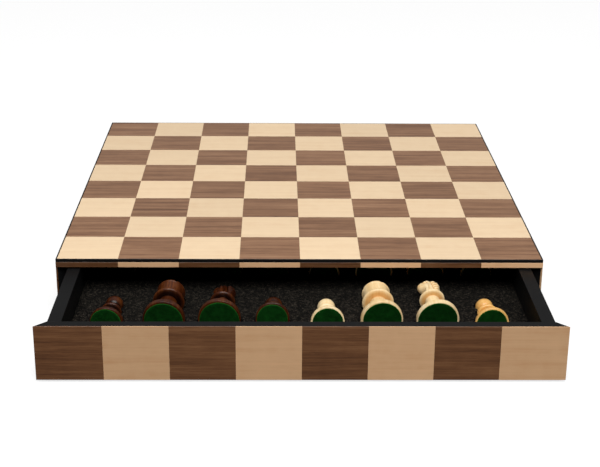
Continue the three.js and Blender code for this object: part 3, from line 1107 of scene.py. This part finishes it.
FELT_EDGE = 0.35 * MM  # how far the felt's underside is drawn up at its edge
FELT_LEVEL, FELT_WAVE = 0.06 * MM, 0.05 * MM  # where its underside lies elsewhere, and how uneven it is


def make_underside_felt():
    """The felt on the bottom, a thin sheet with a soft edge and an uneven nap."""
    low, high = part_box("underside_felt")
    bm = bmesh.new()
    bmesh.ops.create_grid(bm, x_segments=40, y_segments=39, size=0.5)
    made = bmesh.ops.extrude_face_region(bm, geom=list(bm.faces))
    for element in made["geom"]:
        if isinstance(element, bmesh.types.BMVert):
            element.co.z = 1.0
    size = high - low
    middle = Vector(((low.x + high.x) / 2, (low.y + high.y) / 2, low.z))
    for v in bm.verts:
        at = Vector((v.co.x * size.x, v.co.y * size.y, 0))
        if v.co.z > 0.5:
            at.z = size.z
        elif max(abs(v.co.x), abs(v.co.y)) > 0.499:
            at.z = FELT_EDGE
        else:
            at.z = FELT_LEVEL + FELT_WAVE * noise.noise(at * 60.0)
        v.co = middle + at
    bmesh.ops.recalc_face_normals(bm, faces=bm.faces)
    piece = object_from(bm, "underside_felt_sheet", BLACK_FELT)
    set_attribute(piece.data, "rim", "FLOAT", [0.0] * len(piece.data.vertices))
    shade_smooth(piece.data)
    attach(piece, "case")
    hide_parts("underside_felt")


# ---- stage, lights, camera

def glowing_white(name, diffuse, glow):
    material, _, feed = new_material(name)
    feed({
        "Base Color": rgba((diffuse,) * 3),
        "Roughness": 1.0,
        "Specular IOR Level": 0.0,
        "Emission Color": rgba((1, 1, 1)),
        "Emission Strength": glow,
    })
    return material


def only_camera_sees(piece):
    for ray in ("diffuse", "glossy", "transmission", "shadow"):
        setattr(piece, "visible_" + ray, False)


STAGE_RADIUS = 14.0


def make_stage():
    """A pale floor, and a pale dome round it, that throw no light of their own on the box."""
    bm = bmesh.new()
    bmesh.ops.create_circle(bm, cap_ends=True, radius=STAGE_RADIUS, segments=96)
    floor = object_from(bm, "floor", glowing_white("floor_paint", 0.30, 0.72))
    floor.location.z = CAD_BOUNDS[0].z
    only_camera_sees(floor)
    bm = bmesh.new()
    bmesh.ops.create_uvsphere(bm, u_segments=48, v_segments=24, radius=STAGE_RADIUS)
    dome = object_from(bm, "dome", glowing_white("dome_paint", 0.0, 0.97))
    only_camera_sees(dome)


KEY_SIZE = (3.6, 2.9)
KEY_POWER = 250
KEY_DISTANCE = 4.5
KEY_BEARING, KEY_HEIGHT = math.radians(3), math.radians(56.5)  # right of the viewer's side, above the table


def make_key_light():
    """A large softbox in front of the board and above it, which shines at the middle of the board."""
    data = bpy.data.lights.new("key", "AREA")
    data.shape = "RECTANGLE"
    data.size, data.size_y = KEY_SIZE
    data.energy = KEY_POWER
    light = put_in_scene("key", data)
    level = math.cos(KEY_HEIGHT)
    away = Vector((math.sin(KEY_BEARING) * level, -math.cos(KEY_BEARING) * level, math.sin(KEY_HEIGHT)))
    light.location = away * KEY_DISTANCE
    light.rotation_mode = "QUATERNION"
    light.rotation_quaternion = away.to_track_quat("Z", "Y")


SKY_TOP = 0.36
SKY_BACK = 0.26
SKY_SIDES = 0.10
SKY_BELOW = 0.16


def make_world():
    """Sky light by direction: bright overhead and behind, soft at the sides, a floor's bounce from below.

    The low front is left dark, so that nothing shines in under the board."""
    world = bpy.data.worlds.new("studio")
    world.use_nodes = True
    add, feed = node_tools(world.node_tree)
    split = add("ShaderNodeSeparateXYZ", {0: add("ShaderNodeTexCoord").outputs["Generated"]})
    x, y, z = split.outputs
    sideways = calculated(add, "ABSOLUTE", x)
    lobes = [(z, 0.55, 0.85, SKY_TOP), (y, 0.05, 0.50, SKY_BACK)]
    lobes += [(sideways, 0.70, 0.95, SKY_SIDES), (z, 0.06, -0.06, SKY_BELOW)]
    total = 0.0
    for socket, start, full, strength in lobes:
        limits = {"Value": socket, "From Min": start, "From Max": full, "To Max": strength}
        lobe = add("ShaderNodeMapRange", limits, interpolation_type="SMOOTHSTEP").outputs[0]
        total = calculated(add, "ADD", total, lobe)
    feed(world.node_tree.nodes["Background"], {"Color": rgba((1, 1, 1)), "Strength": total})
    bpy.context.scene.world = world


CAMERA_LENS = 80.273  # millimetres, before a sensor 36 mm wide
CAMERA_PLACE = (-0.018893, -1.223601, 0.468035)
CAMERA_TURN = (69.1163, -0.46597, -0.86568)  # degrees about X, Y and Z


def make_camera():
    data = bpy.data.cameras.new("camera")
    data.sensor_width = 36.0
    data.lens = CAMERA_LENS
    data.clip_start, data.clip_end = 0.05, 60.0
    camera = put_in_scene("camera", data)
    camera.location = CAMERA_PLACE
    camera.rotation_euler = [math.radians(angle) for angle in CAMERA_TURN]
    bpy.context.scene.camera = camera


def main():
    make_camera()
    draw = random.Random(SEED)
    make_board(draw)
    make_bands(draw)
    finish_black_parts()
    make_men(draw)
    make_foam()
    make_underside_felt()
    make_stage()
    make_world()
    make_key_light()
    bpy.context.scene.view_settings.view_transform = "Standard"


main()
